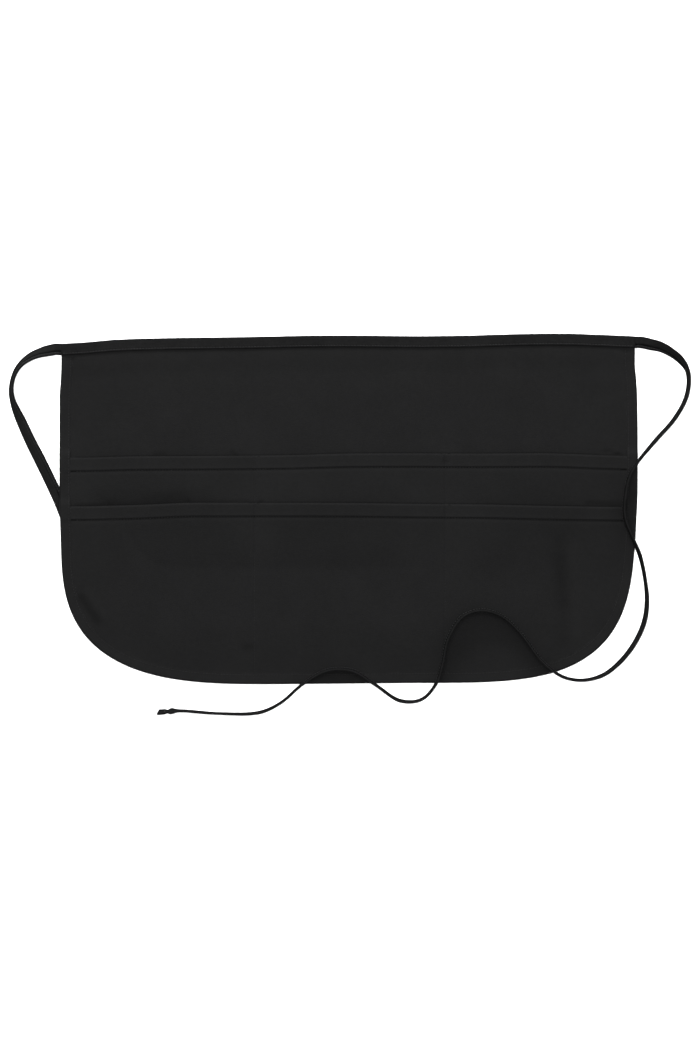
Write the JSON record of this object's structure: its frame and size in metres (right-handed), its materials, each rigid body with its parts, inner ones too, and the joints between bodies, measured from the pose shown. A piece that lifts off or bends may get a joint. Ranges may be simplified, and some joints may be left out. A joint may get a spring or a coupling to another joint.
{
  "type": "waist apron",
  "caption": "Short cloth waist apron with rounded lower corners, folded tape waistband and long ties, and tiers of seamed pockets, laid flat with its ties loose.",
  "frame": {"origin": "under the middle of the apron's box without its ties, on the surface that it rests on", "axes": "+X across the apron to the right as seen from its front, +Y up the apron towards the waistband, +Z out of its front"},
  "size_m": [0.7181, 0.4029, 0.0188],
  "materials": {
    "twill": "matt black cotton-polyester twill, fine diagonal weave, stitched in black",
    "tape": "matt black folded woven tape, stitched along its open edge"
  },
  "bodies": {
    "root": {"apron_panel": "twill", "pocket_upper": "twill", "pocket_lower": "twill", "waistband": "tape", "tie_left": "tape", "tie_right": "tape"}
  },
  "joints": []
}
